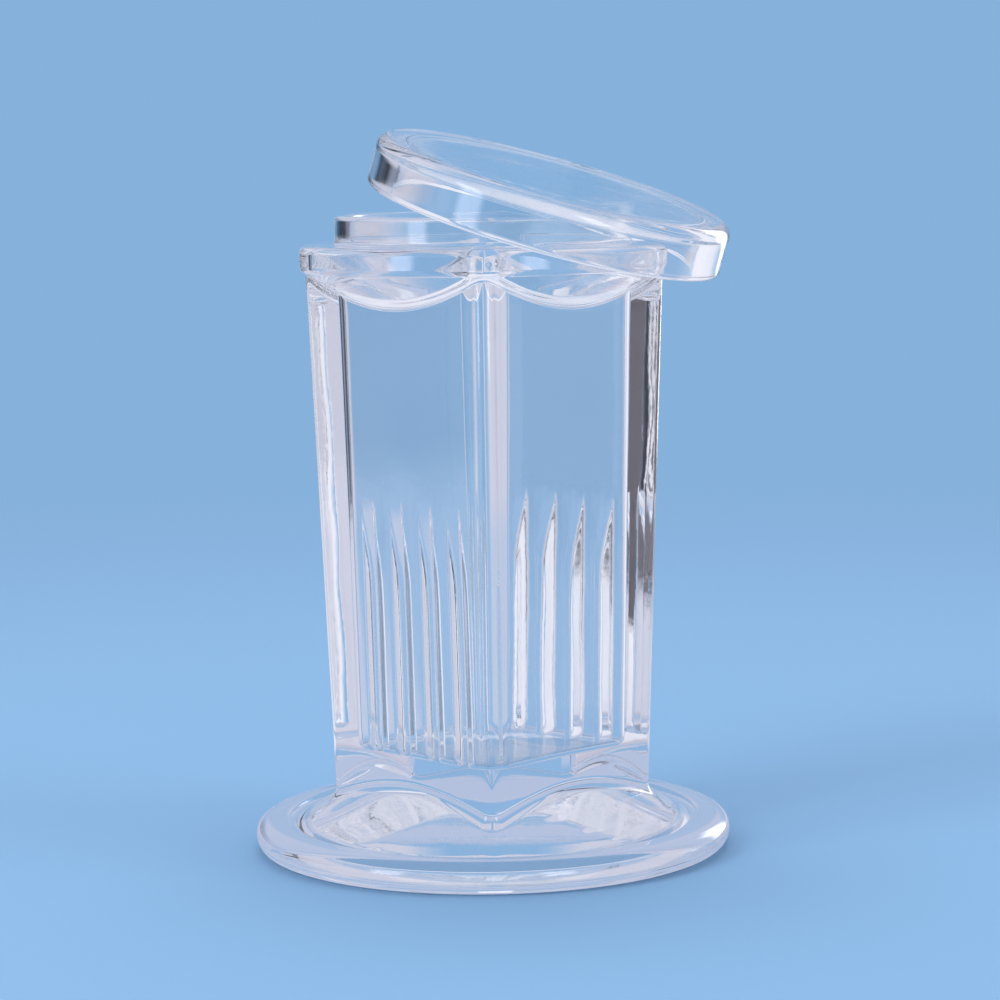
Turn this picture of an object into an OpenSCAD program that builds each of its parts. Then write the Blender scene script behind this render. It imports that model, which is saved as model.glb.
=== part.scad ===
// Slide staining jar: a pressed clear-glass jar that stands microscope slides upright in five pairs
// of slots, with a loose cap lid that here leans on the rim of its mouth.
// The origin is the centre of the foot's underside, Z is up, and the body's four sides are square
// to X and Y. The slots are on the two sides that face along Y.

/* [Jar] */
// Height from the table to the rim of the mouth
jar_h = 94.5; // [80:0.5:130]

/* [Foot] */
// Diameter of the round foot
foot_d = 71; // [62:0.5:90]
// Height of the foot's rounded edge bead
foot_edge_h = 4.8; // [3.6:0.1:6.5]
// Width of the edge bead
foot_edge_w = 5.4; // [4.8:0.1:6.5]
// Height of the foot's web just inside the bead
web_edge_h = 4; // [3.2:0.1:5]
// Angle at which the web rises to the body's corners
web_angle = 28.1; // [20:0.1:40]
// Radius of the fillet between the web and the body
web_fillet = 2.6; // [1:0.1:4]
// Depth of the hollow under the foot
under_depth = 1.6; // [0.6:0.1:2.4]
// Width of the ring that the foot stands on
stand_ring_w = 5; // [3:0.1:8]

/* [Body] */
// Width across the flat sides just under the flange
body_top_w = 38.2; // [36.4:0.2:39.6]
// Width across the flat sides at the foot
body_foot_w = 34.2; // [33:0.2:37]
// Radius of the round that the body's upright edges are cut back to
body_edge_r = 2; // [1:0.1:5]

/* [Chamber] */
// Thickness of the glass below the chamber
floor_h = 15; // [11:0.5:20]
// Width of the chamber under the mouth
chamber_top_w = 29.8; // [28.6:0.2:30]
// Width of the chamber at its floor
chamber_floor_w = 26.8; // [26.4:0.2:28]
// Radius of the chamber's corners at its floor
chamber_floor_r = 1.6; // [1.6:0.1:3]
// Radius of the edge round the chamber's floor
floor_round = 1.4; // [0.6:0.1:1.5]

/* [Slots] */
// Number of ridges on each slotted wall
ridge_count = 4; // [2:1:4]
// Distance from one ridge to the next
ridge_pitch = 6; // [4:0.1:6.6]
// Width of a ridge where it leaves the wall
ridge_base_w = 2.6; // [1.8:0.1:3.2]
// Width of a ridge along its crest
ridge_crest_w = 1.3; // [0.8:0.1:1.6]
// How far a ridge stands out of the wall
ridge_depth = 2.2; // [1.5:0.1:3]
// Height of a ridge's full part above the floor
ridge_h = 27.5; // [20:0.5:40]
// Height of the slanted tip above that
ridge_tip_h = 9; // [4:0.5:14]

/* [Flange] */
// Diameter of the flange round the top of the body
flange_d = 54.6; // [53.6:0.2:66]
// Height of the flange's edge
flange_h = 4.2; // [3:0.1:6]
// Height of the coned underside, from the edge down to the middle of each side
flange_cone_h = 4.2; // [3:0.1:7]
// Radius of the flange's edges
flange_round = 1.2; // [0.4:0.1:1.5]

/* [Mouth] */
// Outside diameter of the collar round the mouth
collar_d = 44; // [42:0.2:46]
// Height of the collar above the flange
collar_h = 4.3; // [3:0.1:5]
// Radius of the rim's edges
rim_round = 0.7; // [0.3:0.1:1]
// Thickness of the collar's wall
collar_w = 2; // [1.6:0.1:2]
// Depth of the mouth's round part below the rim
mouth_depth = 4.4; // [3.6:0.1:8]
// Height of the cone from the round mouth to the square chamber
mouth_cone_h = 4.6; // [3:0.1:5.6]

/* [Lid] */
// Thickness of the lid's top
lid_top_w = 1.9; // [1.4:0.1:3.2]
// Thickness of the lid's skirt
skirt_w = 3.9; // [2.6:0.1:7]
// Gap between the collar and the inside of the lid's skirt, on each side
lid_side_gap = 0.8; // [0.5:0.1:1.6]
// Depth of the hollow under the lid
lid_hollow_h = 5.8; // [5.2:0.1:6]
// Radius of the lid's top edge
lid_round = 1.9; // [0.8:0.1:2.4]
// Radius of the skirt's lower edges
skirt_round = 0.7; // [0.3:0.1:1]
// Angle at which the lid leans on the rim, as far as the flange lets its skirt hang past
lean = 17.2; // [15.5:0.1:18.5]
// Direction in which the lid leans down, from +X towards +Y
lean_to = 23; // [0:1:359]
// Gap between the leaning lid and the rim that carries it
rest_gap = 0.12; // [0.05:0.01:0.3]

/* [Hidden] */
$fn = 96;

glass = [0.80, 0.89, 0.93];
bite = 0.6; // how far shapes of one piece run into each other
arc_steps = 4; // chords in a quarter round

flange_top = jar_h - collar_h;
flange_z = flange_top - flange_h;
shoulder_z = flange_z - flange_cone_h;

edge_cut = body_edge_r * (sqrt(2) - 1);
web_out = foot_d / 2 - foot_edge_w;
web_slope = tan(web_angle);
function web_z(r) = web_edge_h + (web_out - r) * web_slope;
web_body_h = web_z(body_foot_w / sqrt(2) - edge_cut);
body_rise = (body_top_w - body_foot_w) / 2 / (shoulder_z - web_body_h);
body_top_z = flange_z + bite;
function body_half(z) = body_foot_w / 2 + (z - web_body_h) * body_rise;
function body_reach(z) = body_half(z) * sqrt(2) - edge_cut;

mouth_z = jar_h - mouth_depth;
chamber_core = chamber_floor_w / 2 - chamber_floor_r;
chamber_rise = (chamber_top_w - chamber_floor_w) / 2 / (mouth_z - floor_h);
chamber_draft = atan(chamber_rise);
function chamber_r(z) = chamber_floor_r + (z - floor_h) * chamber_rise;
mouth_r = collar_d / 2 - collar_w;
// Corners that stand wider than the mouth end below its cone, with glass over them.
chamber_end = chamber_core * sqrt(2) + chamber_r(mouth_z) < mouth_r ? mouth_z : mouth_z - mouth_cone_h + bite;

stand_r = foot_d / 2 - foot_edge_h / 2;
// The fillet's centre stands so high that the fillet runs down the web's slope, and just into it.
fillet_z = web_body_h - bite / 4 + web_fillet * (cos(web_angle) - (1 - sin(web_angle)) * web_slope);
// The body starts inside the foot, at the web's edge or below the fillet's lower end.
body_start_z = min(web_edge_h, fillet_z - web_fillet * cos(web_angle) - bite);

lid_in_r = collar_d / 2 + lid_side_gap;

// The leaning lid touches the rim in three places. Its ceiling lies on the outer edge of the rim on
// the low side, and its skirt's inner edge straddles the rim in two places on the high side.
function rest_r(a) = collar_d / 2 - rim_round * (1 - sin(a));
function rest_z(a) = jar_h - rim_round * (1 - cos(a));
function straddle(a) = rest_r(a) - lid_hollow_h / sin(a);
function lid_ahead(a) = lid_hollow_h / tan(a)
    - sqrt(pow(lid_in_r, 2) - pow(rest_r(a), 2) + pow(straddle(a), 2));
function hang_out(a) = rest_r(a) - lid_ahead(a) * cos(a);
function hang_up(a) = rest_z(a) + lid_ahead(a) * sin(a);

// How far out the skirt's inner edge is where it passes the flange's top.
function skirt_out(a) =
    let (edge_r = lid_in_r + skirt_round,
        along = min((hang_up(a) - lid_hollow_h * cos(a) - flange_top) / sin(a), edge_r))
    norm([hang_out(a) - lid_hollow_h * sin(a) + along * cos(a), sqrt(edge_r * edge_r - along * along)]);
// The lid leans further until its skirt hangs clear of the flange, unless it would tip off the rim.
function clear_lean(a) = skirt_out(a) >= flange_d / 2 || lid_ahead(a) <= 0 ? a : clear_lean(a + 0.1);
hang_lean = clear_lean(lean);
hangs = skirt_out(hang_lean) >= flange_d / 2;

// Over a wider flange the skirt lies on the flange, and straddles the rim half way up the high side.
skirt_r = lid_in_r + skirt_w - skirt_round;
flat_lean = asin(collar_h / (skirt_r + lid_in_r / 2));

lid_lean = hangs ? hang_lean : flat_lean;
lid_out = hangs ? hang_out(hang_lean)
    : lid_in_r / 2 * cos(flat_lean) + lid_hollow_h * sin(flat_lean)
        - sqrt(pow(rest_r(flat_lean), 2) - pow(lid_in_r, 2) * 3 / 4);
lid_up = hangs ? hang_up(hang_lean)
    : flange_top + skirt_r * sin(flat_lean) + lid_hollow_h * cos(flat_lean);

// Points of a round of radius r about a centre, from one angle to another.
function round_points(centre, r, from, to) =
    [for (i = [0:arc_steps]) let (a = from + (to - from) * i / arc_steps)
        centre + r * [cos(a), sin(a)]];

// A value to the nearest micron, so that shapes which share a seam meet along it exactly.
function micron(v) = round(v * 1000) / 1000;

// A solid of rounded-square section. The centres of its corners stand at +-core, and profile gives
// how far the solid reaches out from them, as [reach, z] points from the axis outwards.
module rounded_square(core, profile) {
    c = micron(core);
    points = [for (p = profile) [micron(p[0]), micron(p[1])]];
    for (turn = [0:90:270])
        rotate(turn) translate([c, c, 0])
            rotate_extrude(angle = 90) polygon(points);
    for (turn = [0, 90])
        rotate(turn) rotate([90, 0, 0])
            linear_extrude(2 * c, center = true)
                polygon(concat(
                    [for (p = points) [c + p[0], p[1]]],
                    [for (i = [len(points) - 1:-1:0]) [-c - points[i][0], points[i][1]]]));
}

// The round foot, with its bead, its rising web and the hollow under it.
module foot() {
    bead_r = foot_edge_h / 2;
    web_top_z = web_z(body_foot_w / 2 - bite);
    rotate_extrude()
        polygon(concat(
            [[0, under_depth], [stand_r - stand_ring_w - under_depth, under_depth]],
            [[stand_r - stand_ring_w, 0]],
            round_points([stand_r, bead_r], bead_r, -90, 90),
            [[web_out + foot_edge_h - web_edge_h, foot_edge_h], [web_out, web_edge_h]],
            [[body_foot_w / 2 - bite, web_top_z], [0, web_top_z]]));
}

// Half the outline of the body, with the fillet at its foot, where it stands this far out from the
// axis at the web, at the fillet's top and at its own top.
function body_side(foot, fillet, top) = concat(
    [[foot + web_fillet * (1 - sin(web_angle)), body_start_z]],
    round_points([fillet + web_fillet, fillet_z], web_fillet, 270 - web_angle, 180),
    [[top, body_top_z]]);

// A slab between two opposite sides of the body.
module body_slab() {
    side = body_side(body_half(web_body_h), body_half(fillet_z), body_half(body_top_z));
    rotate([90, 0, 0])
        linear_extrude(foot_d, center = true)
            polygon(concat(side, [for (i = [len(side) - 1:-1:0]) [-side[i][0], side[i][1]]]));
}

// The square body's outside, from inside the foot's web to inside the flange. Two slabs give its
// flat sides, and a cone cuts back its upright edges.
module body_outside() {
    intersection() {
        body_slab();
        rotate(90) body_slab();
        rotate_extrude()
            polygon(concat(
                [[0, body_start_z]],
                body_side(body_reach(web_body_h), body_reach(fillet_z), body_reach(body_top_z)),
                [[0, body_top_z]]));
    }
}

// The flange with its coned underside, and the collar above it.
module flange_and_collar() {
    flange_r = flange_d / 2;
    collar_r = collar_d / 2;
    rotate_extrude()
        polygon(concat(
            [[0, shoulder_z - bite], [body_top_w / 2 - bite, shoulder_z - bite]],
            round_points([flange_r - flange_round, flange_z + flange_round], flange_round, -60, 0),
            round_points([flange_r - flange_round, flange_top - flange_round], flange_round, 0, 90),
            [[collar_r + bite, flange_top], [collar_r, flange_top + bite]],
            round_points([collar_r - rim_round, jar_h - rim_round], rim_round, 0, 90),
            [[0, jar_h]]));
}

// The inside: the square chamber, the cone above it and the round mouth.
module inside() {
    cone_r = chamber_top_w / 2 - bite;
    rounded_square(chamber_core, concat(
        [[0, floor_h]],
        round_points([chamber_r(floor_h) - floor_round, floor_h + floor_round], floor_round, 270, 360),
        [[chamber_r(chamber_end), chamber_end], [0, chamber_end]]));
    rotate_extrude()
        polygon(concat(
            [[0, mouth_z - mouth_cone_h], [cone_r, mouth_z - mouth_cone_h], [mouth_r, mouth_z]],
            round_points([mouth_r + rim_round, jar_h - rim_round], rim_round, 180, 90),
            [[mouth_r + rim_round, jar_h + bite], [0, jar_h + bite]]));
}

// One ridge on the wall at +Y, in a frame that leans back with the wall.
module ridge() {
    full = ridge_h + bite;
    tip = full + ridge_tip_h;
    intersection() {
        linear_extrude(tip)
            polygon([[-ridge_base_w / 2, 0], [-ridge_crest_w / 2, -ridge_depth],
                [ridge_crest_w / 2, -ridge_depth], [ridge_base_w / 2, 0],
                [ridge_base_w / 2, bite], [-ridge_base_w / 2, bite]]);
        rotate([90, 0, 90]) linear_extrude(ridge_base_w + bite, center = true)
            polygon([[bite, 0], [-ridge_depth, 0], [-ridge_depth, full], [0, tip], [bite, tip]]);
    }
}

// The ridges of both slotted walls.
module ridges() {
    for (turn = [0, 180], i = [0:ridge_count - 1])
        rotate(turn) translate([(i - (ridge_count - 1) / 2) * ridge_pitch, chamber_floor_w / 2, floor_h])
            rotate([-chamber_draft, 0, 0]) translate([0, 0, -bite]) ridge();
}

// The jar, pressed as one piece of glass.
module jar() {
    color(glass) {
        difference() {
            union() {
                foot();
                body_outside();
                flange_and_collar();
            }
            inside();
        }
        ridges();
    }
}

// The cap lid, upright, with its ceiling at z = 0.
module lid_upright() {
    r = lid_in_r + skirt_w;
    rotate_extrude()
        polygon(concat(
            [[0, 0], [lid_in_r - skirt_round, 0]],
            round_points([lid_in_r - skirt_round, -skirt_round], skirt_round, 90, 0),
            round_points([lid_in_r + skirt_round, skirt_round - lid_hollow_h], skirt_round, 180, 270),
            round_points([r - skirt_round, skirt_round - lid_hollow_h], skirt_round, -90, 0),
            round_points([r - lid_round, lid_top_w - lid_round], lid_round, 0, 90),
            [[0, lid_top_w]]));
}

// The lid, leaning on the rim.
module lid() {
    color(glass)
        rotate(lean_to) translate([lid_out, 0, lid_up]) rotate([0, lid_lean, 0])
            translate([0, 0, rest_gap]) lid_upright();
}

jar();
lid();
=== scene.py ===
import math

import bpy
import numpy as np
from mathutils import Matrix, Vector


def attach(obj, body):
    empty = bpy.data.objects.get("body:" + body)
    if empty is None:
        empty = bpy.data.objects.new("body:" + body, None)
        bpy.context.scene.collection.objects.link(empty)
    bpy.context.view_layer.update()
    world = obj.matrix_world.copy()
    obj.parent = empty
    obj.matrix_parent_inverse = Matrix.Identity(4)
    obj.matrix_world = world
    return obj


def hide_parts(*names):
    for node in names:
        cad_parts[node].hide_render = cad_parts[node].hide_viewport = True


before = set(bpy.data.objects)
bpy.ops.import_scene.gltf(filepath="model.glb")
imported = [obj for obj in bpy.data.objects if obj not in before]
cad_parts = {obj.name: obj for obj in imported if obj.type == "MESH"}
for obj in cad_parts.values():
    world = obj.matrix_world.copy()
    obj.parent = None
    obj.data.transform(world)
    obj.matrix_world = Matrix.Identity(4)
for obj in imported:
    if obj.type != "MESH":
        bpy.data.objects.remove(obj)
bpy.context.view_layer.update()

MM = 0.001
QUARTER = math.pi / 2

# ---------------------------------------------------------------- sizes of the part, in mm
JAR_H = 94.5
FOOT_R, BEAD_H, BEAD_W = 35.5, 4.8, 5.4
WEB_EDGE_H, WEB_SLOPE = 4.0, math.tan(math.radians(28.1))
UNDER_DEPTH, STAND_RING_W = 1.6, 5.0
BODY_TOP, BODY_FOOT, BODY_EDGE_R = 38.2 / 2, 34.2 / 2, 2.0
FLOOR_H, FLOOR_ROUND = 15.0, 1.4
CHAMBER_TOP, CHAMBER_FLOOR, CHAMBER_FLOOR_R = 29.8 / 2, 26.8 / 2, 1.6
RIDGES, RIDGE_PITCH, RIDGE_DEPTH, RIDGE_H, RIDGE_TIP_H = 4, 6.0, 2.2, 27.5, 9.0
RIDGE_BASE, RIDGE_CREST = 2.6 / 2, 1.3 / 2
FLANGE_R, FLANGE_H, FLANGE_CONE_H, FLANGE_ROUND = 54.6 / 2, 4.2, 4.2, 1.2
COLLAR_R, COLLAR_H, COLLAR_W = 22.0, 4.3, 2.0
MOUTH_DEPTH, MOUTH_CONE_H = 4.4, 4.6
LID_TOP_W, SKIRT_W, LID_GAP, LID_HOLLOW_H = 1.9, 3.9, 0.8, 5.8
RIM_ROUND, LEAN, LEAN_TO, REST_GAP = 0.7, math.radians(17.2), math.radians(23), 0.12
BITE = 0.6  # how far shapes of one piece run into each other
HAIR = 0.03  # taken off what reaches the part's box, so that the smooth outside stays in it

FLANGE_TOP = JAR_H - COLLAR_H
FLANGE_Z = FLANGE_TOP - FLANGE_H
SHOULDER_Z = FLANGE_Z - FLANGE_CONE_H
WEB_OUT = FOOT_R - BEAD_W
BODY_CORE = BODY_FOOT - BODY_EDGE_R
WEB_BODY_H = WEB_EDGE_H + (WEB_OUT - BODY_CORE * math.sqrt(2) - BODY_EDGE_R) * WEB_SLOPE
BODY_RISE = (BODY_TOP - BODY_FOOT) / (SHOULDER_Z - WEB_BODY_H)
MOUTH_R = COLLAR_R - COLLAR_W
MOUTH_Z = JAR_H - MOUTH_DEPTH
CHAMBER_CORE = CHAMBER_FLOOR - CHAMBER_FLOOR_R
CHAMBER_RISE = (CHAMBER_TOP - CHAMBER_FLOOR) / (MOUTH_Z - FLOOR_H)
RIDGE_TIP_Z = FLOOR_H + RIDGE_H + RIDGE_TIP_H
LID_IN_R = COLLAR_R + LID_GAP

# Rounds that only the smooth glass has in this form, in mm.
HOLLOW_ROUND, STAND_ROUND, BEAD_FOOT_ROUND, WEB_FOOT_ROUND, FILLET = 1.6, 0.7, 1.0, 1.2, 2.6
SHOULDER_ROUND, CONE_ROUND, COLLAR_FOOT_ROUND, MOUTH_ROUND, NECK_ROUND = 1.4, 1.3, 0.8, 1.6, 1.2
CEILING_ROUND, SKIRT_IN_ROUND, SKIRT_OUT_ROUND, LID_EDGE_ROUND = 1.0, 0.7, 0.8, 1.9

# Slow unevenness of pressed glass, in mm.
WAVE_HEIGHTS = (0.012, 0.008, 0.0048)
INSIDE_SEED, OUTSIDE_SEED = 2.1, 0.4  # these set the waves of the two sides of a wall apart
WAVES_START, WAVES_END, WAVES_R = (13, 22), (70, 79), 13  # heights and radius where the walls have them
LID_SWELL, LID_SWELL_R = 0.02, 21

RIDGE_MARGIN = 0.5  # height over the ridges' tips in which the slotted walls are still kept flat, in mm
SIDE = 98  # points along each of the jar's four sides
LID_AROUND = 288  # points round the lid
SOLVES = 12  # steps that find where two sloping faces meet


# ---------------------------------------------------------------- mesh helpers
def smooth(a, b, x):
    """0 below a, 1 above b and a soft step between."""
    t = np.clip((x - a) / (b - a), 0, 1)
    return t * t * (3 - 2 * t)


def spread(weight, count, lo, hi):
    """count + 1 values from lo to hi, denser where weight is greater."""
    fine = np.linspace(lo, hi, 4001)
    total = np.concatenate([[0], np.cumsum(weight((fine[1:] + fine[:-1]) / 2))])
    return np.interp(np.linspace(0, total[-1], count + 1), total, fine)


def rounded_square(theta, core, r):
    """How far out a rounded square reaches in the direction theta.

    core is half the square that the centres of its rounds make, and r is their radius."""
    c, s = np.abs(np.cos(theta)), np.abs(np.sin(theta))
    flat = (core + r) / np.maximum(c, s)
    along = (c + s) * core
    arc = along + np.sqrt(np.maximum(along ** 2 - 2 * core ** 2 + r ** 2, 0))
    return np.where((core + r) * np.minimum(c, s) / np.maximum(c, s) <= core, flat, arc)


def round_corner(before, corner, after, radius, points):
    """Rows of an arc that rounds the corner between its neighbours."""
    most = 0.49  # of the way to a neighbour, so that two rounds never meet
    u, v = corner - before, after - corner
    u_length, v_length = np.hypot(*u[1:]), np.hypot(*v[1:])
    u, v = u / u_length, v / v_length
    turn = np.arccos(np.clip((u[1:] * v[1:]).sum(0), -1, 1))
    cut = np.minimum(radius * np.tan(turn / 2), most * np.minimum(u_length, v_length))
    start, end, pull = corner - u * cut, corner + v * cut, np.cos(turn / 2)
    rows = []
    for t in np.linspace(0, 1, points + 1):
        a, b, c = (1 - t) ** 2, 2 * t * (1 - t) * pull, t * t
        rows.append((a * start + b * corner + c * end) / (a + b + c))
    return rows


def outline(controls):
    """Rows of (theta, reach, z) along control points whose corners are rounded.

    A control is (theta, reach, z, radius of the round, points of the round, points of the stretch
    after it)."""
    around = np.shape(controls[0][0])
    places = [np.stack([np.broadcast_to(value, around) for value in control[:3]]) for control in controls]
    rows = [places[0]]
    for k in range(1, len(places)):
        steps = controls[k - 1][5]
        if k + 1 < len(places):
            corner = round_corner(places[k - 1], places[k], places[k + 1], *controls[k][3:5])
        else:
            corner = [places[k]]
        start, end = rows[-1], corner[0]
        rows += [start + (end - start) * t for t in np.linspace(0, 1, steps + 1)[1:-1]]
        rows += corner
    return np.array(rows)


def grid_mesh(name, points):
    """A closed mesh from rows of points round an axis. The first and the last row are single points."""
    rows, count = points.shape[0] - 2, points.shape[1]
    verts = np.concatenate([points[:1, 0], points[1:-1].reshape(-1, 3), points[-1:, 0]]) * MM
    ring = 1 + np.arange(rows * count).reshape(rows, count)
    after = np.roll(ring, -1, 1)
    quads = np.stack([ring[:-1], after[:-1], after[1:], ring[1:]], -1).reshape(-1, 4).tolist()
    fans = [(0, int(b), int(a)) for a, b in zip(ring[0], after[0])]
    fans += [(len(verts) - 1, int(a), int(b)) for a, b in zip(ring[-1], after[-1])]
    mesh = bpy.data.meshes.new(name)
    mesh.from_pydata(verts.tolist(), [], quads + fans)
    mesh.polygons.foreach_set("use_smooth", [True] * len(mesh.polygons))
    mesh.update()
    piece = bpy.data.objects.new(name, mesh)
    bpy.context.scene.collection.objects.link(piece)
    return piece


def turn_outwards(piece):
    """Turns the faces so that their normals point out of the solid."""
    mesh = piece.data
    co = np.array([v.co for v in mesh.vertices])
    volume = 0.0
    for p in mesh.polygons:
        a, b, c = co[p.vertices[0]], co[p.vertices[1]], co[p.vertices[2]]
        volume += np.dot(a, np.cross(b, c))
        if len(p.vertices) == 4:
            volume += np.dot(a, np.cross(c, co[p.vertices[3]]))
    if volume < 0:
        mesh.flip_normals()


# ---------------------------------------------------------------- the jar
def body_reach(theta, z):
    """How far out the body's outside is."""
    return rounded_square(theta, BODY_CORE + (z - WEB_BODY_H) * BODY_RISE, BODY_EDGE_R)


def chamber_corner(z):
    """Radius of the chamber's corners."""
    return CHAMBER_FLOOR_R + (z - FLOOR_H) * CHAMBER_RISE


def outside_angles():
    """Directions of the points round the outside, from one diagonal to the next, denser at corners."""
    corner_width = 0.06  # in radians

    def weight(a):
        return 1 + 4 * np.exp(-((np.abs(a) - QUARTER / 2) / corner_width) ** 2)

    side = spread(weight, SIDE, -QUARTER / 2, QUARTER / 2)[:-1]
    return np.concatenate([side + k * QUARTER for k in range(4)])


def ridge_places():
    """Places of the ridges' middles along a slotted wall."""
    return [(i - (RIDGES - 1) / 2) * RIDGE_PITCH for i in range(RIDGES)]


def chamber_angles(r):
    """Directions of the points round the chamber whose corners have radius r, denser on the ridges."""
    even_r = 2.4  # radius that spaces the points on the corners alike at every height
    flank_reach = 0.5  # how near a ridge's flank the points are denser
    flank_middle = (RIDGE_BASE + RIDGE_CREST) / 2
    half = CHAMBER_CORE + QUARTER / 2 * even_r

    def across(s):
        """Place along the wall of a point at length s from the wall's middle."""
        return np.clip(s, -CHAMBER_CORE, CHAMBER_CORE)

    def on_flank(s):
        return sum(np.abs(np.abs(s - p) - flank_middle) < flank_reach for p in ridge_places())

    def on_arc(s):
        return np.abs(s) > CHAMBER_CORE

    def directions(s):
        x = across(s)
        turn = (s - x) / even_r
        return np.arctan2(x + r * np.sin(turn), CHAMBER_CORE + r * np.cos(turn))

    plain = spread(lambda s: 1 + 3 * on_arc(s), SIDE, -half, half)[:-1]
    ridged = spread(lambda s: 1 + 4 * on_flank(s) + 2 * on_arc(s), SIDE, -half, half)[:-1]
    sides = (plain, ridged, plain, ridged)
    return np.concatenate([k * QUARTER + directions(s) for k, s in enumerate(sides)])


def soft_step(t, soft=0.07):
    """0 below 0, 1 above 1 and straight between, with its two bends rounded."""
    return soft * (np.logaddexp(0, t / soft) - np.logaddexp(0, (t - 1) / soft))


def ridge_height(x, z):
    """How far the ridges stand out of the slotted wall."""
    crispness = 6  # of the edge where a ridge's slanted tip meets its crest and flanks
    ramp = np.maximum((RIDGE_TIP_Z - z) / RIDGE_TIP_H, 0) * RIDGE_DEPTH
    flank = RIDGE_BASE - RIDGE_CREST
    across = sum(soft_step((RIDGE_BASE - np.abs(x - p)) / flank) for p in ridge_places()) * RIDGE_DEPTH
    return ramp * across / np.maximum(ramp ** crispness + across ** crispness, 1e-9) ** (1 / crispness)


def waves(a, z, seed):
    """Slow unevenness of a pressed wall, in mm."""
    shapes = (
        np.sin(2 * a + 0.13 * z + seed) * np.sin(0.09 * z + 1.7 * seed),
        np.sin(5 * a - 0.21 * z + 2.3 * seed),
        np.sin(9 * a + 0.35 * z + 0.7 * seed),
    )
    return sum(height * shape for height, shape in zip(WAVE_HEIGHTS, shapes))


def with_ridges(x, y, z, inside):
    """y of the points, where those of the chamber's slotted walls follow the ridges."""
    wall = CHAMBER_CORE + chamber_corner(z)
    set_back = np.clip(wall - np.abs(y), 0, None)
    ridged = wall - np.cbrt(set_back ** 3 + ridge_height(x, z) ** 3)
    at_ridges = inside & (z < RIDGE_TIP_Z + RIDGE_MARGIN)
    return np.where(at_ridges, np.sign(y) * np.minimum(np.abs(y), ridged), y)


def make_jar():
    """Foot, web, body, flange, collar, mouth and chamber as one surface of rows round the axis."""
    out = outside_angles()
    # The cone under the flange ends where the flange's lower round starts, 60 degrees down.
    cone_out = FLANGE_R - FLANGE_ROUND / 2
    cone_top = FLANGE_Z + FLANGE_ROUND * (1 - math.sin(math.radians(60)))
    cone_slope = (cone_top - SHOULDER_Z + BITE) / (cone_out - BODY_TOP + BITE)
    web_z, cone_z = np.full(out.shape, WEB_BODY_H), np.full(out.shape, SHOULDER_Z)
    for _ in range(SOLVES):
        web_z = WEB_EDGE_H + (WEB_OUT - body_reach(out, web_z)) * WEB_SLOPE
        cone_z = cone_top - (cone_out - body_reach(out, cone_z)) * cone_slope
    web_r, cone_r = body_reach(out, web_z), body_reach(out, cone_z)

    neck_start = MOUTH_Z - 1  # about where the cone under the mouth meets the chamber
    inner = chamber_angles(chamber_corner(neck_start))
    mouth_slope = MOUTH_CONE_H / (MOUTH_R - CHAMBER_TOP + BITE)
    neck_z = np.full(inner.shape, neck_start)
    for _ in range(SOLVES):
        neck_r = rounded_square(inner, CHAMBER_CORE, chamber_corner(neck_z))
        neck_z = MOUTH_Z - (MOUTH_R - neck_r) * mouth_slope
    low = chamber_angles(CHAMBER_FLOOR_R)
    floor_r = rounded_square(low, CHAMBER_CORE, CHAMBER_FLOOR_R)
    bead = BEAD_H / 2
    ring_in = FOOT_R - bead - STAND_RING_W

    rows = outline([
        (out, 0, UNDER_DEPTH, 0, 0, 7),
        (out, ring_in - UNDER_DEPTH, UNDER_DEPTH, HOLLOW_ROUND, 4, 2),
        (out, ring_in, 0, STAND_ROUND, 4, 4),
        (out, FOOT_R - HAIR, 0, bead, 10, 1),
        (out, FOOT_R - HAIR, BEAD_H, bead, 10, 2),
        (out, WEB_OUT + BEAD_H - WEB_EDGE_H, BEAD_H, BEAD_FOOT_ROUND, 3, 1),
        (out, WEB_OUT, WEB_EDGE_H, WEB_FOOT_ROUND, 4, 9),
        (out, web_r, web_z, FILLET, 9, 30),
        (out, cone_r, cone_z, SHOULDER_ROUND, 7, 5),
        (out, FLANGE_R, cone_top + (FLANGE_R - cone_out) * cone_slope, CONE_ROUND, 7, 2),
        (out, FLANGE_R, FLANGE_TOP, FLANGE_ROUND, 7, 4),
        (out, COLLAR_R, FLANGE_TOP, COLLAR_FOOT_ROUND, 6, 3),
        (out, COLLAR_R, JAR_H, RIM_ROUND, 7, 1),
        (out, MOUTH_R, JAR_H, RIM_ROUND, 7, 10),
        (inner, MOUTH_R, MOUTH_Z, MOUTH_ROUND, 6, 4),
        (inner, neck_r, neck_z, NECK_ROUND, 6, 52),
        (low, floor_r, FLOOR_H, FLOOR_ROUND, 9, 12),
        (low, 0, FLOOR_H, 0, 0, 0),
    ])
    theta, reach, z = rows[:, 0], rows[:, 1], rows[:, 2]
    rim_row = np.argmax(z[:, 0])
    inside = np.arange(len(rows))[:, None] > rim_row
    window = smooth(*WAVES_START, z) * (1 - smooth(*WAVES_END, z)) * (reach > WAVES_R)
    uneven = np.where(inside, waves(theta, z, INSIDE_SEED), waves(theta, z, OUTSIDE_SEED))
    reach = reach + window * uneven
    x, y = reach * np.cos(theta), reach * np.sin(theta)
    return grid_mesh("jar_glass", np.stack([x, with_ridges(x, y, z, inside), z], -1))


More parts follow.
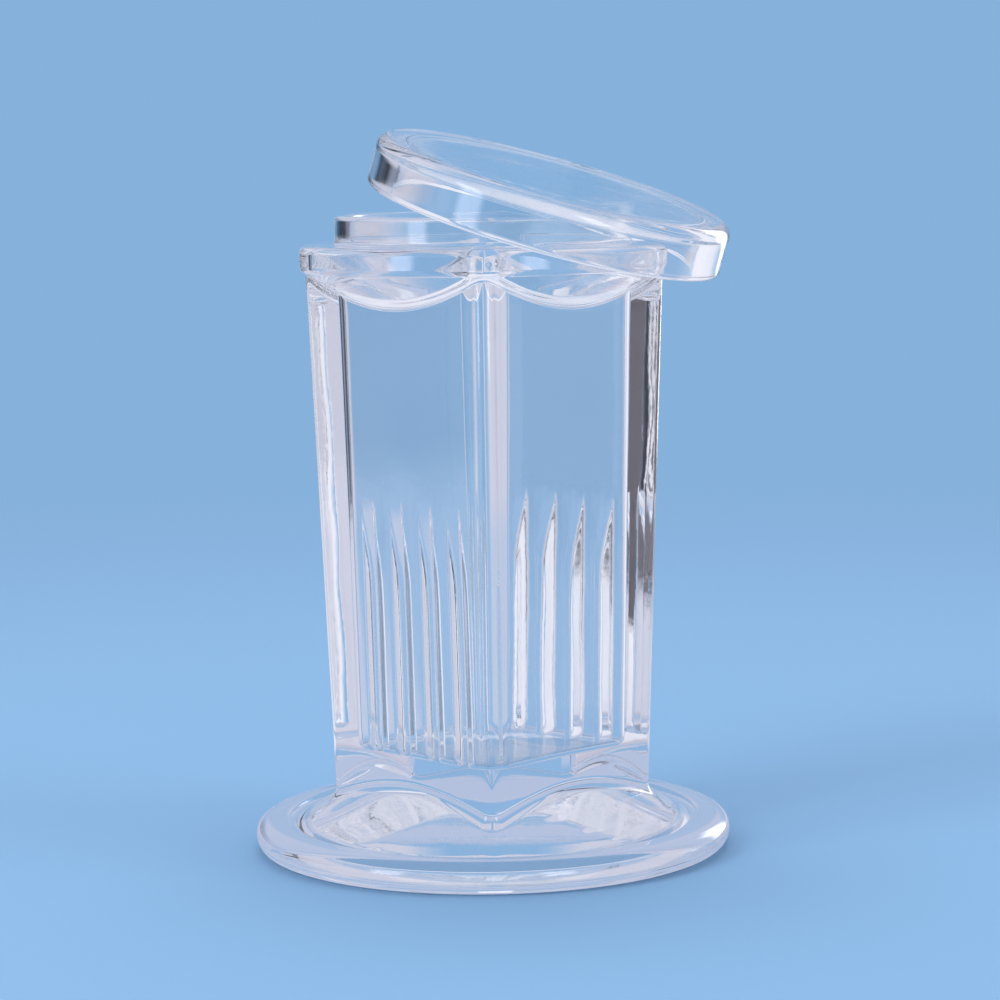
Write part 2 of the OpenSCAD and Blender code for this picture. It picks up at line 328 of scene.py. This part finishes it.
# ---------------------------------------------------------------- the lid
def lid_place():
    """The turn and place of the lid that leans on the rim: its ceiling on one side, its skirt on the
    other."""
    rest_r = COLLAR_R - RIM_ROUND * (1 - math.sin(LEAN))
    rest_z = JAR_H - RIM_ROUND * (1 - math.cos(LEAN))
    straddle = rest_r - LID_HOLLOW_H / math.sin(LEAN)
    ahead = LID_HOLLOW_H / math.tan(LEAN) - math.sqrt(LID_IN_R ** 2 - rest_r ** 2 + straddle ** 2)
    place = Vector((rest_r - ahead * math.cos(LEAN), 0, rest_z + ahead * math.sin(LEAN))) * MM
    return (Matrix.Rotation(LEAN_TO, 4, "Z") @ Matrix.Translation(place) @ Matrix.Rotation(LEAN, 4, "Y")
            @ Matrix.Translation((0, 0, REST_GAP * MM)))


def make_lid():
    """The cap lid, from the middle of its ceiling round the skirt to the middle of its top."""
    around = np.linspace(0, 2 * math.pi, LID_AROUND, endpoint=False)
    outer_r = LID_IN_R + SKIRT_W - HAIR
    rows = outline([
        (around, 0, 0, 0, 0, 12),
        (around, LID_IN_R, 0, CEILING_ROUND, 8, 5),
        (around, LID_IN_R, -LID_HOLLOW_H, SKIRT_IN_ROUND, 8, 2),
        (around, outer_r, -LID_HOLLOW_H, SKIRT_OUT_ROUND, 8, 5),
        (around, outer_r, LID_TOP_W - HAIR, LID_EDGE_ROUND, 12, 14),
        (around, 0, LID_TOP_W - HAIR, 0, 0, 0),
    ])
    theta, reach, z = rows[:, 0], rows[:, 1], rows[:, 2]
    z = z + LID_SWELL * np.sin(theta + 0.3) * np.sin(reach * 0.3) * (reach < LID_SWELL_R)
    points = np.stack([reach * np.cos(theta), reach * np.sin(theta), z], -1)
    lid = grid_mesh("lid_glass", points)
    lid.data.transform(lid_place())
    return lid


# ---------------------------------------------------------------- node helpers
MIX_SHARE, MIX_FIRST, MIX_SECOND, MIX_RESULT = 0, 6, 7, 2  # sockets of a Mix node that mixes colours


def node(tree, kind, **settings):
    """A new node, with its sockets and properties set by name."""
    made = tree.nodes.new(kind)
    for key, value in settings.items():
        if key in made.inputs:
            made.inputs[key].default_value = value
        else:
            setattr(made, key, value)
    return made


def maths(tree, operation, first, second):
    """The result of a Math node. first and second are each a socket or a number."""
    made = node(tree, "ShaderNodeMath", operation=operation)
    for socket, value in zip(made.inputs, (first, second)):
        if isinstance(value, float):
            socket.default_value = value
        else:
            tree.links.new(value, socket)
    return made.outputs["Value"]


def map_range(tree, value, low, high, start, end, **settings):
    """value turned into start at low and end at high, and kept between the two."""
    made = node(tree, "ShaderNodeMapRange", **settings)
    for key, number in (("From Min", low), ("From Max", high), ("To Min", start), ("To Max", end)):
        made.inputs[key].default_value = number
    tree.links.new(value, made.inputs["Value"])
    return made.outputs["Result"]


def ramp_between(tree, value, zone, start=0.0, end=1.0):
    """value turned into start below the zone and end above it, with a smooth run between."""
    return map_range(tree, value, *zone, start, end, interpolation_type="SMOOTHSTEP")


def mix_colours(tree, share, first, second):
    """The first colour where share is 0 and the second where it is 1. A colour is a socket or a
    value."""
    mix = node(tree, "ShaderNodeMix", data_type="RGBA")
    tree.links.new(share, mix.inputs[MIX_SHARE])
    for socket, colour in ((mix.inputs[MIX_FIRST], first), (mix.inputs[MIX_SECOND], second)):
        if isinstance(colour, tuple):
            socket.default_value = (*colour, 1)
        else:
            tree.links.new(colour, socket)
    return mix.outputs[MIX_RESULT]


# ---------------------------------------------------------------- glass
def glass_material(name, seed):
    """Clear pressed glass: slow ripples, a faint orange-peel, uneven polish and a slight tint."""
    mat = bpy.data.materials.new(name)
    mat.use_nodes = True
    tree = mat.node_tree
    shader = tree.nodes["Principled BSDF"]
    shader.inputs["Transmission Weight"].default_value = 1.0
    shader.inputs["IOR"].default_value = 1.5
    place = node(tree, "ShaderNodeTexCoord")
    moved = node(tree, "ShaderNodeMapping", Location=(seed, seed * 0.7, -seed))
    tree.links.new(place.outputs["Object"], moved.inputs["Vector"])

    ripple = node(tree, "ShaderNodeTexNoise", Scale=70.0, Detail=1.5, Roughness=0.4)
    peel = node(tree, "ShaderNodeTexNoise", Scale=420.0, Detail=2.0, Roughness=0.5)
    cloud = node(tree, "ShaderNodeTexNoise", Scale=45.0, Detail=3.0, Roughness=0.55)
    for texture in (ripple, peel, cloud):
        tree.links.new(moved.outputs["Vector"], texture.inputs["Vector"])

    slow = node(tree, "ShaderNodeBump", Strength=0.12, Distance=0.0004)
    fine = node(tree, "ShaderNodeBump", Strength=0.06, Distance=0.0001)
    tree.links.new(ripple.outputs["Fac"], slow.inputs["Height"])
    tree.links.new(peel.outputs["Fac"], fine.inputs["Height"])
    tree.links.new(slow.outputs["Normal"], fine.inputs["Normal"])
    tree.links.new(fine.outputs["Normal"], shader.inputs["Normal"])

    polish = map_range(tree, cloud.outputs["Fac"], low=0.35, high=0.75, start=0.004, end=0.05)
    tree.links.new(polish, shader.inputs["Roughness"])

    tint = node(tree, "ShaderNodeValToRGB")
    tones = ((0.3, (0.955, 0.975, 0.985, 1)), (0.7, (0.985, 0.992, 0.998, 1)))
    for stop, (position, colour) in zip(tint.color_ramp.elements, tones):
        stop.position, stop.color = position, colour
    tree.links.new(cloud.outputs["Fac"], tint.inputs["Fac"])
    tree.links.new(tint.outputs["Color"], shader.inputs["Base Color"])
    return mat


# ---------------------------------------------------------------- studio
VIEW_ANGLE = math.radians(-44.8)  # where the camera stands, from +X towards +Y
BACKGROUND = (0.24, 0.44, 0.71)
AMBIENT = (0.66, 0.66, 0.66)
# Tones that only the glass shows: the white and pale ones are painted highlights, the others painted
# shade.
WHITE, PALE, SHADE = (0.90, 0.90, 1.0), (0.62, 0.63, 0.76), (0.25, 0.28, 0.38)
DIM, DARK = (0.09, 0.08, 0.10), (0.012, 0.012, 0.016)
# The tones overhead and close round the jar that the glass reflects are painted, and so is the glow of a
# ring of light under the foot.
ABOVE, BENEATH, PAINTED_GLOW = (0.72, 0.73, 0.84), (0.54, 0.53, 0.66), (0.60, 0.60, 0.75)
# Painted lamp glints, brighter than white, and the shares where they are off and on.
PAINTED_GLINT, UNLIT, LIT = (5.5, 5.5, 6.0), (0.0, 0.0, 0.0), (1.0, 1.0, 1.0)

# The camera sees the plain background all round. These lists are painted reflections, painted highlights
# and painted shade that the glass shows instead, as if cards and lamps stood out of view, by degrees from
# the camera's side, positive to its right.
# Painted tones that the glass shows of what is behind it, where it bends the view.
PAINTED_BACKDROP = [
    (-176, BACKGROUND), (-172, PALE), (-152, PALE), (-149, DARK), (-141, DARK), (-138, BACKGROUND),
    (141, BACKGROUND), (145, PALE), (152, PALE), (156, BACKGROUND),
]
# Painted reflections that the glass shows of the floor near the jar.
NEAR_AROUND = [
    (-166, BACKGROUND), (-158, PALE), (-104, PALE), (-90, WHITE), (-40, WHITE), (-34, DARK),
    (-16, DARK), (-8, WHITE), (45, WHITE), (58, PALE), (102, PALE), (112, WHITE), (150, WHITE),
    (162, BACKGROUND),
]
# Painted reflections of the floor further out, and of the world up to HIGH_ZONE.
FAR_AROUND = [
    (-168, BACKGROUND), (-160, DARK), (-143, DARK), (-137, SHADE), (-114, SHADE), (-108, DIM),
    (-85, DIM), (-80, WHITE), (-66, WHITE), (-58, DIM), (-15, DIM), (-8, WHITE), (45, WHITE),
    (58, PALE), (102, PALE), (112, WHITE), (150, WHITE), (162, BACKGROUND),
]
# Painted reflections of the world above that.
HIGH_AROUND = [(-174, BACKGROUND), (-168, PALE), (168, PALE), (174, BACKGROUND)]
# Painted lamp glints: bright patches like lamps, painted in the world and on the floor, which only the
# outside of the glass reflects. The first is where the key softbox stands. The others stand where no
# softbox does.
PAINTED_GLINT_PATCHES = [
    (-62, UNLIT), (-57, LIT), (-47, LIT), (-42, UNLIT), (21, UNLIT), (26, LIT), (36, LIT),
    (41, UNLIT), (130, UNLIT), (137, LIT), (150, LIT), (157, UNLIT),
]

# Zones of the floor, by metres from the jar's axis, in which one tone runs into the next. The first two
# are the edges of a ring of painted light under the foot, seen only in the glass, which makes the foot's
# edge look whitish.
RING_INNER_ZONE, RING_OUTER_ZONE = (0.0270, 0.0295), (0.0348, 0.0354)
BENEATH_ZONE = (0.03, 0.05)  # from the background's colour to the painted tone beneath the jar, which the glass reflects
AROUND_ZONE = (0.06, 0.10)  # from there to the tones round the jar
FAR_ZONE = (0.38, 0.50)  # from the near tones to the far ones
FLOOR_GLINT_ZONE = (0.45, 0.60)  # from no painted lamp glint to the painted ones
PLAIN_ZONE = (0.16, 0.55)  # from the matt floor to the background's colour
WHOLE = (0.0, 1.0)  # for a value that is a share already
PAINTED_RING_SHARE = 0.6  # share of the painted glow in what is seen of the ring through the glass
PLAIN_SHARE = 0.65  # least share of the plain colour, painted over the floor's shade, in the rest of the floor seen through the glass

# Zones of the world, by the height of a direction of length 1.
BEHIND_ZONE = (0.14, 0.19)  # from the painted backdrop to painted white
HIGH_ZONE = (0.14, 0.24)  # from the far tones to the high ones
TOP_ZONE = (0.78, 0.86)  # from the high tones to the painted one overhead
WORLD_GLINT_ZONE = (0.35, 0.50)  # from the painted lamp glints to none

CAMERA_LENS, CAMERA_SENSOR = 117.4, 36
CAMERA_OUT, CAMERA_H, CAMERA_ROLL = 0.482, 0.107, math.radians(-0.9)
AIM_RIGHT, AIM_H = 0.0018, 0.0519
FLOOR_HALF = 4

# Softboxes: name, degrees from the camera's side, distance out, height, size and power.
SOFTBOXES = [
    ("key_softbox", -52, 0.75, 0.55, (0.40, 0.50), 3),
    ("fill_softbox", 70, 0.9, 0.55, (0.50, 0.60), 2),
    ("top_softbox", 180, 0.25, 0.95, (0.60, 0.50), 2.5),
]
SOFTBOX_AIM = (0, 0, 0.05)
BOUNCES = 32


def tones_round(tree, direction, tones):
    """The tone in a direction, from a list of tones by degrees."""
    turn = node(tree, "ShaderNodeVectorRotate", rotation_type="Z_AXIS", Angle=-VIEW_ANGLE)
    parts = node(tree, "ShaderNodeSeparateXYZ")
    tree.links.new(direction, turn.inputs["Vector"])
    tree.links.new(turn.outputs["Vector"], parts.inputs["Vector"])
    angle = maths(tree, "ARCTAN2", parts.outputs["Y"], parts.outputs["X"])
    around = node(tree, "ShaderNodeValToRGB")
    stops = around.color_ramp.elements
    stops[0].color, stops[1].color = (*tones[0][1], 1), (*tones[-1][1], 1)
    for degrees, colour in tones:
        stops.new((degrees + 180) / 360).color = (*colour, 1)
    tree.links.new(map_range(tree, angle, -math.pi, math.pi, 0.0, 1.0), around.inputs["Fac"])
    return around.outputs["Color"]


def reflected(tree):
    """1 for light that has been reflected at least once, at a face of the glass or inside it."""
    path = node(tree, "ShaderNodeLightPath")
    return maths(tree, "GREATER_THAN", path.outputs["Glossy Depth"], 0.5)


def surroundings(tree, direction, behind, reflection, glint_share):
    """The background for the camera. For the glass, painted tones of what lies behind it, or a painted
    reflection.

    A reflection that has never been in the glass has painted lamp glints in it too, where the share given
    for them is 1."""
    path = node(tree, "ShaderNodeLightPath")
    outer = maths(tree, "LESS_THAN", path.outputs["Transmission Depth"], 0.5)
    # Painted lamp glints on the outside of the glass.
    with_glints = mix_colours(tree, tones_round(tree, direction, PAINTED_GLINT_PATCHES), reflection, PAINTED_GLINT)
    reflection = mix_colours(tree, maths(tree, "MULTIPLY", outer, glint_share), reflection, with_glints)
    in_glass = mix_colours(tree, reflected(tree), behind, reflection)
    return mix_colours(tree, path.outputs["Is Camera Ray"], in_glass, BACKGROUND)


def floor_colour(tree, place, away, ring):
    """What the camera and the glass see of the floor, apart from its own matt surface. The glass sees
    painted tones there, painted lamp glints and a ring of painted light.
    """
    painted_backdrop = tones_round(tree, place, PAINTED_BACKDROP)
    behind = mix_colours(tree, ramp_between(tree, away, AROUND_ZONE), BACKGROUND, painted_backdrop)
    near, far = tones_round(tree, place, NEAR_AROUND), tones_round(tree, place, FAR_AROUND)
    round_about = mix_colours(tree, ramp_between(tree, away, FAR_ZONE), near, far)
    beneath = mix_colours(tree, ramp_between(tree, away, BENEATH_ZONE), BACKGROUND, BENEATH)
    reflection = mix_colours(tree, ramp_between(tree, away, AROUND_ZONE), beneath, round_about)
    glint_share = ramp_between(tree, away, FLOOR_GLINT_ZONE)
    seen = surroundings(tree, place, behind, reflection, glint_share)
    return mix_colours(tree, ramp_between(tree, ring, WHOLE, 0.0, PAINTED_RING_SHARE), seen, PAINTED_GLOW)


def floor_material():
    """Pale matt floor that runs into the background further out. The glass shows painted tones in it, and
    plain colour painted over its shade.
    """
    mat = bpy.data.materials.new("pale_floor")
    mat.use_nodes = True
    tree = mat.node_tree
    shader = tree.nodes["Principled BSDF"]
    shader.inputs["Base Color"].default_value = (*BACKGROUND, 1)
    shader.inputs["Roughness"].default_value = 0.7
    shader.inputs["Specular IOR Level"].default_value = 0.1
    place = node(tree, "ShaderNodeTexCoord").outputs["Object"]
    length = node(tree, "ShaderNodeVectorMath", operation="LENGTH")
    tree.links.new(place, length.inputs[0])
    away = length.outputs["Value"]
    # A ring of painted light under the foot, seen only in the glass.
    past_inner = ramp_between(tree, away, RING_INNER_ZONE)
    short_of_outer = ramp_between(tree, away, RING_OUTER_ZONE, 1.0, 0.0)
    ring = maths(tree, "MULTIPLY", past_inner, short_of_outer)

    # Emission: the plain background far out, and the painted tones and painted light that the glass sees.
    plain = node(tree, "ShaderNodeEmission", Strength=1.0)
    tree.links.new(floor_colour(tree, place, away, ring), plain.inputs["Color"])
    path = node(tree, "ShaderNodeLightPath")
    # Seen through the glass, plain colour is painted over most of the floor's shade, and over all of it
    # at the ring.
    most_through = ramp_between(tree, ring, WHOLE, PLAIN_SHARE, 1.0)
    through = maths(tree, "MULTIPLY", path.outputs["Is Transmission Ray"], most_through)
    share = maths(tree, "MAXIMUM", ramp_between(tree, away, PLAIN_ZONE), through)
    # Reflections in the glass see only the painted tones.
    share = maths(tree, "MAXIMUM", share, reflected(tree))
    mix = node(tree, "ShaderNodeMixShader")
    tree.links.new(share, mix.inputs["Fac"])
    tree.links.new(shader.outputs["BSDF"], mix.inputs[1])
    tree.links.new(plain.outputs["Emission"], mix.inputs[2])
    tree.links.new(mix.outputs["Shader"], tree.nodes["Material Output"].inputs["Surface"])
    return mat


def make_floor():
    """A plain pale floor."""
    mesh = bpy.data.meshes.new("floor")
    corners = [(x * FLOOR_HALF, y * FLOOR_HALF, 0) for x, y in ((-1, -1), (1, -1), (1, 1), (-1, 1))]
    mesh.from_pydata(corners, [], [(0, 1, 2, 3)])
    mesh.materials.append(floor_material())
    floor = bpy.data.objects.new("floor", mesh)
    bpy.context.scene.collection.objects.link(floor)


def make_world():
    """The background for the camera, plain light for the floor, and the painted tones that the glass
    shows.
    """
    world = bpy.data.worlds.new("studio")
    bpy.context.scene.world = world
    world.use_nodes = True
    tree = world.node_tree
    direction = node(tree, "ShaderNodeTexCoord").outputs["Generated"]
    parts = node(tree, "ShaderNodeSeparateXYZ")
    tree.links.new(direction, parts.inputs["Vector"])
    height = parts.outputs["Z"]

    high = tones_round(tree, direction, HIGH_AROUND)
    above = mix_colours(tree, ramp_between(tree, height, TOP_ZONE), high, ABOVE)
    level = tones_round(tree, direction, FAR_AROUND)
    reflection = mix_colours(tree, ramp_between(tree, height, HIGH_ZONE), level, above)
    painted_backdrop = tones_round(tree, direction, PAINTED_BACKDROP)
    behind = mix_colours(tree, ramp_between(tree, height, BEHIND_ZONE), painted_backdrop, WHITE)
    glint_share = ramp_between(tree, height, WORLD_GLINT_ZONE, 1.0, 0.0)
    seen = surroundings(tree, direction, behind, reflection, glint_share)
    path = node(tree, "ShaderNodeLightPath")
    colour = mix_colours(tree, path.outputs["Is Diffuse Ray"], seen, AMBIENT)
    tree.links.new(colour, tree.nodes["Background"].inputs["Color"])


def aim(thing, place, target):
    """Stands a camera or lamp at a place and points it at the target."""
    thing.location = place
    thing.rotation_mode = "QUATERNION"
    thing.rotation_quaternion = (Vector(target) - Vector(place)).to_track_quat("-Z", "Y")


def make_softbox(name, angle, distance, height, size, power):
    """A softbox that gives light and isn't itself seen, in the glass either."""
    data = bpy.data.lights.new(name, "AREA")
    data.shape, data.size, data.size_y = "RECTANGLE", *size
    data.energy = power
    light = bpy.data.objects.new(name, data)
    light.visible_camera = light.visible_glossy = light.visible_transmission = False
    bpy.context.scene.collection.objects.link(light)
    a = VIEW_ANGLE + math.radians(angle)
    aim(light, (distance * math.cos(a), distance * math.sin(a), height), SOFTBOX_AIM)


def make_camera():
    """A camera at the photograph's viewing angle."""
    data = bpy.data.cameras.new("camera")
    data.sensor_width, data.lens = CAMERA_SENSOR, CAMERA_LENS
    data.clip_start, data.clip_end = 0.01, 20
    camera = bpy.data.objects.new("camera", data)
    bpy.context.scene.collection.objects.link(camera)
    to_camera = Vector((math.cos(VIEW_ANGLE), math.sin(VIEW_ANGLE), 0))
    right = Vector((-math.sin(VIEW_ANGLE), math.cos(VIEW_ANGLE), 0))
    up = Vector((0, 0, 1))
    aim(camera, to_camera * CAMERA_OUT + up * CAMERA_H, right * AIM_RIGHT + up * AIM_H)
    roll = Matrix.Rotation(CAMERA_ROLL, 3, "Z").to_quaternion()
    camera.rotation_quaternion = camera.rotation_quaternion @ roll
    bpy.context.scene.camera = camera


make_camera()
make_floor()
make_world()
for softbox in SOFTBOXES:
    make_softbox(*softbox)

for piece, cad, seed in ((make_jar(), "jar", 0.0), (make_lid(), "lid", 3.1)):
    turn_outwards(piece)
    piece.data.materials.append(glass_material(cad + "_clear_glass", seed))
    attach(piece, "root")
    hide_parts(cad)

bpy.context.scene.view_settings.view_transform = "Standard"
for limit in ("max_bounces", "glossy_bounces", "transmission_bounces"):
    setattr(bpy.context.scene.cycles, limit, BOUNCES)
